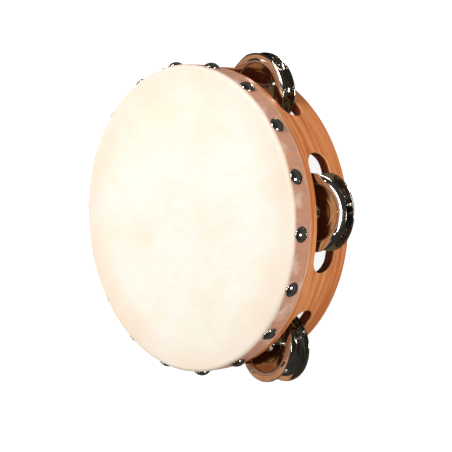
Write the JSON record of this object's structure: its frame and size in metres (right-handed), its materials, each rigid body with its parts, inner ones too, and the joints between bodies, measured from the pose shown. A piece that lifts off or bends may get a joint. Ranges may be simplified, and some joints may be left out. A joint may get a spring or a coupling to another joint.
{
  "type": "tambourine",
  "caption": "Round hand drum: a skin head tacked over a slotted wooden hoop, with pairs of small cymbals loose on pins in the slots.",
  "frame": {"origin": "the middle of the open rim's plane, on the drum's axis", "axes": "+Z along the drum's axis, out of the head; +X through the middle of the first jingle slot"},
  "size_m": [0.2435, 0.2155, 0.0518],
  "materials": {
    "hoop_wood": "satin varnish, grain round the hoop",
    "head_skin": "matte natural skin",
    "tack_nickel": "polished nickel plate",
    "pin_steel": "bright drawn wire",
    "jingle_nickel": "polished nickel plate"
  },
  "bodies": {
    "drum": {"shell_hoop": "hoop_wood", "skin_head": "head_skin", "head_tacks": "tack_nickel", "jingle_pin_1": "pin_steel", "jingle_pin_2": "pin_steel", "jingle_pin_3": "pin_steel", "jingle_pin_4": "pin_steel", "jingle_pin_5": "pin_steel", "jingle_pin_6": "pin_steel"},
    "jingle_1_front": {"jingle_1_front": "jingle_nickel"},
    "jingle_1_back": {"jingle_1_back": "jingle_nickel"},
    "jingle_2_front": {"jingle_2_front": "jingle_nickel"},
    "jingle_2_back": {"jingle_2_back": "jingle_nickel"},
    "jingle_3_front": {"jingle_3_front": "jingle_nickel"},
    "jingle_3_back": {"jingle_3_back": "jingle_nickel"},
    "jingle_4_front": {"jingle_4_front": "jingle_nickel"},
    "jingle_4_back": {"jingle_4_back": "jingle_nickel"},
    "jingle_5_front": {"jingle_5_front": "jingle_nickel"},
    "jingle_5_back": {"jingle_5_back": "jingle_nickel"},
    "jingle_6_front": {"jingle_6_front": "jingle_nickel"},
    "jingle_6_back": {"jingle_6_back": "jingle_nickel"}
  },
  "joints": [
    {"name": "jingle_1_front_slide", "type": "slide", "parent": "drum", "child": "jingle_1_front", "axis": [0, 0, -1], "range_m": [-0.0006, 0.0009]},
    {"name": "jingle_1_back_slide", "type": "slide", "parent": "drum", "child": "jingle_1_back", "axis": [0, 0, 1], "range_m": [-0.0015, 0.0009]},
    {"name": "jingle_2_front_slide", "type": "slide", "parent": "drum", "child": "jingle_2_front", "axis": [0, 0, -1], "range_m": [-0.0044, 0.0005]},
    {"name": "jingle_2_back_slide", "type": "slide", "parent": "drum", "child": "jingle_2_back", "axis": [0, 0, 1], "range_m": [-0.0005, 0.0005]},
    {"name": "jingle_3_front_slide", "type": "slide", "parent": "drum", "child": "jingle_3_front", "axis": [0, 0, -1], "range_m": [-0.0065, 0.0008]},
    {"name": "jingle_3_back_slide", "type": "slide", "parent": "drum", "child": "jingle_3_back", "axis": [0, 0, 1], "range_m": [-0.0005, 0.0008]},
    {"name": "jingle_4_front_slide", "type": "slide", "parent": "drum", "child": "jingle_4_front", "axis": [0, 0, -1], "range_m": [-0.0016, 0.0017]},
    {"name": "jingle_4_back_slide", "type": "slide", "parent": "drum", "child": "jingle_4_back", "axis": [0, 0, 1], "range_m": [-0.0011, 0.0017]},
    {"name": "jingle_5_front_slide", "type": "slide", "parent": "drum", "child": "jingle_5_front", "axis": [0, 0, -1], "range_m": [-0.0066, 0.0008]},
    {"name": "jingle_5_back_slide", "type": "slide", "parent": "drum", "child": "jingle_5_back", "axis": [0, 0, 1], "range_m": [-0.0005, 0.0008]},
    {"name": "jingle_6_front_slide", "type": "slide", "parent": "drum", "child": "jingle_6_front", "axis": [0, 0, -1], "range_m": [-0.004, 0.0007]},
    {"name": "jingle_6_back_slide", "type": "slide", "parent": "drum", "child": "jingle_6_back", "axis": [0, 0, 1], "range_m": [-0.002, 0.0007]}
  ]
}
